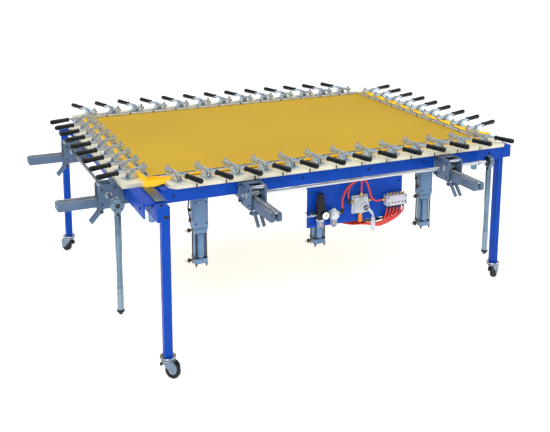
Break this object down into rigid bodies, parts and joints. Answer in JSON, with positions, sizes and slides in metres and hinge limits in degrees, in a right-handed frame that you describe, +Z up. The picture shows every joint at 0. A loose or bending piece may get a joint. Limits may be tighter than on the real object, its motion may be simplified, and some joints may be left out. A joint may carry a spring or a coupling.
{
  "type": "screen mesh stretching table",
  "caption": "Wheeled steel table that grips a screen mesh between rows of toggle clamps, pulls it taut with rack-driven beams and lifts a frame to it on air cylinders.",
  "frame": {"origin": "on the floor under the middle of the whole footprint, racks and handles included", "axes": "+X to the right along the front clamp row, +Y to the rear, +Z up"},
  "size_m": [2.608, 2.0949, 0.911],
  "materials": {
    "grip_vinyl": "dipped vinyl",
    "jaw_steel": "milled",
    "zinc_plate": "bright zinc plate",
    "cream_paint": "satin enamel",
    "mesh_cloth": "woven monofilament",
    "blue_paint": "gloss enamel",
    "blue_grey_steel": "hammered enamel",
    "chrome_shaft": "polished",
    "wrench_steel": "satin",
    "cylinder_alloy": "anodised",
    "caster_zinc": "zinc plate",
    "caster_tyre": "moulded rubber",
    "red_hose": "polyurethane tube",
    "black_plastic": "moulded",
    "valve_grey": "die-cast"
  },
  "bodies": {
    "root": {"air_hoses": "red_hose", "air_panel": "blue_paint", "air_regulator": "valve_grey", "base_rails": "blue_paint", "cylinder_barrels": "cylinder_alloy", "cylinder_brackets": "blue_grey_steel", "cylinder_caps": "cylinder_alloy", "fixed_beams": "blue_paint", "fixed_clamp_bases": "zinc_plate", "fixed_plates": "cream_paint", "hand_valve": "valve_grey", "legs": "blue_paint", "manifold": "valve_grey", "mesh_sheet": "mesh_cloth", "racks": "blue_grey_steel"},
    "front_beam": {"front_beam": "blue_paint", "front_plates": "cream_paint", "front_clamp_bases": "zinc_plate", "front_gear_boxes": "blue_grey_steel"},
    "left_beam": {"left_beam": "blue_paint", "left_plates": "cream_paint", "left_clamp_bases": "zinc_plate", "left_gear_boxes": "blue_grey_steel"},
    "front_arms": {"front_clamp_arms": "zinc_plate", "front_jaws": "jaw_steel"},
    "front_levers": {"front_levers": "zinc_plate", "front_grips": "grip_vinyl"},
    "front_links": {"front_links": "zinc_plate"},
    "rear_arms": {"rear_clamp_arms": "zinc_plate", "rear_jaws": "jaw_steel"},
    "rear_levers": {"rear_levers": "zinc_plate", "rear_grips": "grip_vinyl"},
    "rear_links": {"rear_links": "zinc_plate"},
    "left_arms": {"left_clamp_arms": "zinc_plate", "left_jaws": "jaw_steel"},
    "left_levers": {"left_levers": "zinc_plate", "left_grips": "grip_vinyl"},
    "left_links": {"left_links": "zinc_plate"},
    "right_arms": {"right_clamp_arms": "zinc_plate", "right_jaws": "jaw_steel"},
    "right_levers": {"right_levers": "zinc_plate", "right_grips": "grip_vinyl"},
    "right_links": {"right_links": "zinc_plate"},
    "front_shaft": {"front_pinion_shaft": "chrome_shaft"},
    "front_wrench": {"front_torque_wrench": "wrench_steel"},
    "front_pawls": {"front_pawls": "blue_grey_steel"},
    "left_shaft": {"left_pinion_shaft": "chrome_shaft"},
    "left_wrench": {"left_torque_wrench": "wrench_steel"},
    "left_pawls": {"left_pawls": "blue_grey_steel"},
    "lift": {"lift_carriage": "cylinder_alloy"},
    "knob": {"regulator_knob": "black_plastic"},
    "valve_lever": {"valve_lever": "valve_grey"},
    "front_left_fork": {"front_left_fork": "caster_zinc"},
    "front_left_wheel": {"front_left_wheel": "caster_tyre"},
    "front_right_fork": {"front_right_fork": "caster_zinc"},
    "front_right_wheel": {"front_right_wheel": "caster_tyre"},
    "rear_left_fork": {"rear_left_fork": "caster_zinc"},
    "rear_left_wheel": {"rear_left_wheel": "caster_tyre"},
    "rear_right_fork": {"rear_right_fork": "caster_zinc"},
    "rear_right_wheel": {"rear_right_wheel": "caster_tyre"}
  },
  "joints": [
    {"name": "front_slide", "type": "slide", "parent": "root", "child": "front_beam", "axis": [0, -1, 0], "range_m": [0, 0.1]},
    {"name": "left_slide", "type": "slide", "parent": "root", "child": "left_beam", "axis": [-1, 0, 0], "range_m": [0, 0.1]},
    {"name": "lift", "type": "slide", "parent": "root", "child": "lift", "axis": [0, 0, 1], "range_m": [0, 0.055]},
    {"name": "front_clamp_open", "type": "hinge", "parent": "front_beam", "child": "front_arms", "pos_m": [0.084, -0.65602, 0.872], "axis": [1, 0, 0], "range_deg": [0, 30]},
    {"name": "front_lever_swing", "type": "hinge", "parent": "front_arms", "child": "front_levers", "pos_m": [0.084, -0.67605, 0.886], "axis": [-1, 0, 0], "range_deg": [0, 72.1]},
    {"name": "front_link_swing", "type": "hinge", "parent": "front_beam", "child": "front_links", "pos_m": [0.084, -0.67803, 0.857], "axis": [1, 0, 0], "range_deg": [0, 65.8]},
    {"name": "rear_clamp_open", "type": "hinge", "parent": "root", "child": "rear_arms", "pos_m": [0.084, 0.85101, 0.872], "axis": [-1, 0, 0], "range_deg": [0, 30]},
    {"name": "rear_lever_swing", "type": "hinge", "parent": "rear_arms", "child": "rear_levers", "pos_m": [0.084, 0.87105, 0.886], "axis": [1, 0, 0], "range_deg": [0, 72.1]},
    {"name": "rear_link_swing", "type": "hinge", "parent": "root", "child": "rear_links", "pos_m": [0.084, 0.87303, 0.857], "axis": [-1, 0, 0], "range_deg": [0, 65.8]},
    {"name": "left_clamp_open", "type": "hinge", "parent": "left_beam", "child": "left_arms", "pos_m": [-0.93961, 0.0975, 0.872], "axis": [0, -1, 0], "range_deg": [0, 30]},
    {"name": "left_lever_swing", "type": "hinge", "parent": "left_arms", "child": "left_levers", "pos_m": [-0.95965, 0.0975, 0.886], "axis": [0, 1, 0], "range_deg": [0, 72.1]},
    {"name": "left_link_swing", "type": "hinge", "parent": "left_beam", "child": "left_links", "pos_m": [-0.96163, 0.0975, 0.857], "axis": [0, -1, 0], "range_deg": [0, 65.8]},
    {"name": "right_clamp_open", "type": "hinge", "parent": "root", "child": "right_arms", "pos_m": [1.10762, 0.0975, 0.872], "axis": [0, 1, 0], "range_deg": [0, 30]},
    {"name": "right_lever_swing", "type": "hinge", "parent": "right_arms", "child": "right_levers", "pos_m": [1.12765, 0.0975, 0.886], "axis": [0, -1, 0], "range_deg": [0, 72.1]},
    {"name": "right_link_swing", "type": "hinge", "parent": "root", "child": "right_links", "pos_m": [1.12963, 0.0975, 0.857], "axis": [0, 1, 0], "range_deg": [0, 65.8]},
    {"name": "front_shaft_turn", "type": "hinge", "parent": "front_beam", "child": "front_shaft", "pos_m": [0.084, -0.7875, 0.772], "axis": [1, 0, 0], "range_deg": [-5, 440]},
    {"name": "front_wrench_swing", "type": "hinge", "parent": "front_beam", "child": "front_wrench", "pos_m": [0.989, -0.7875, 0.772], "axis": [-1, 0, 0], "range_deg": [-25, 90]},
    {"name": "front_pawl_lift", "type": "hinge", "parent": "front_beam", "child": "front_pawls", "pos_m": [0.084, -0.8215, 0.686], "axis": [-1, 0, 0], "range_deg": [-15, 40]},
    {"name": "left_shaft_turn", "type": "hinge", "parent": "left_beam", "child": "left_shaft", "pos_m": [-1.061, 0.0975, 0.772], "axis": [0, -1, 0], "range_deg": [-5, 440]},
    {"name": "left_wrench_swing", "type": "hinge", "parent": "left_beam", "child": "left_wrench", "pos_m": [-1.061, -0.6925, 0.772], "axis": [0, 1, 0], "range_deg": [-25, 90]},
    {"name": "left_pawl_lift", "type": "hinge", "parent": "left_beam", "child": "left_pawls", "pos_m": [-1.095, 0.0975, 0.686], "axis": [0, 1, 0], "range_deg": [-15, 40]},
    {"name": "valve_turn", "type": "hinge", "parent": "root", "child": "valve_lever", "pos_m": [0.217, -0.7625, 0.61], "axis": [0, -1, 0], "range_deg": [0, 90]},
    {"name": "knob_turn", "type": "hinge", "parent": "root", "child": "knob", "pos_m": [-0.023, -0.7325, 0.66], "axis": [0, 0, 1], "range_deg": [-180, 180]},
    {"name": "front_left_swivel", "type": "hinge", "parent": "root", "child": "front_left_fork", "pos_m": [-0.909, -0.9395, 0.095], "axis": [0, 0, 1], "continuous": true},
    {"name": "front_left_roll", "type": "hinge", "parent": "front_left_fork", "child": "front_left_wheel", "pos_m": [-0.89229, -0.95942, 0.0375], "axis": [0.766, 0.6428, 0], "continuous": true},
    {"name": "front_right_swivel", "type": "hinge", "parent": "root", "child": "front_right_fork", "pos_m": [1.164, -0.6505, 0.095], "axis": [0, 0, 1], "continuous": true},
    {"name": "front_right_roll", "type": "hinge", "parent": "front_right_fork", "child": "front_right_wheel", "pos_m": [1.18652, -0.6375, 0.0375], "axis": [-0.5, 0.866, 0], "continuous": true},
    {"name": "rear_left_swivel", "type": "hinge", "parent": "root", "child": "rear_left_fork", "pos_m": [-1.022, 0.7895, 0.095], "axis": [0, 0, 1], "continuous": true},
    {"name": "rear_left_roll", "type": "hinge", "parent": "rear_left_fork", "child": "rear_left_wheel", "pos_m": [-1.035, 0.81202, 0.0375], "axis": [-0.866, -0.5, 0], "continuous": true},
    {"name": "rear_right_swivel", "type": "hinge", "parent": "root", "child": "rear_right_fork", "pos_m": [1.164, 0.7895, 0.095], "axis": [0, 0, 1], "continuous": true},
    {"name": "rear_right_roll", "type": "hinge", "parent": "rear_right_fork", "child": "rear_right_wheel", "pos_m": [1.13957, 0.78061, 0.0375], "axis": [0.342, -0.9397, 0], "continuous": true}
  ],
  "couplings": [
    {"joint": "front_lever_swing", "follows": "front_clamp_open", "ratio": 2.4},
    {"joint": "front_link_swing", "follows": "front_clamp_open", "ratio": 2.19},
    {"joint": "rear_lever_swing", "follows": "rear_clamp_open", "ratio": 2.4},
    {"joint": "rear_link_swing", "follows": "rear_clamp_open", "ratio": 2.19},
    {"joint": "left_lever_swing", "follows": "left_clamp_open", "ratio": 2.4},
    {"joint": "left_link_swing", "follows": "left_clamp_open", "ratio": 2.19},
    {"joint": "right_lever_swing", "follows": "right_clamp_open", "ratio": 2.4},
    {"joint": "right_link_swing", "follows": "right_clamp_open", "ratio": 2.19},
    {"joint": "front_shaft_turn", "follows": "front_slide", "rad_per_m": 75.472},
    {"joint": "left_shaft_turn", "follows": "left_slide", "rad_per_m": 75.472}
  ]
}
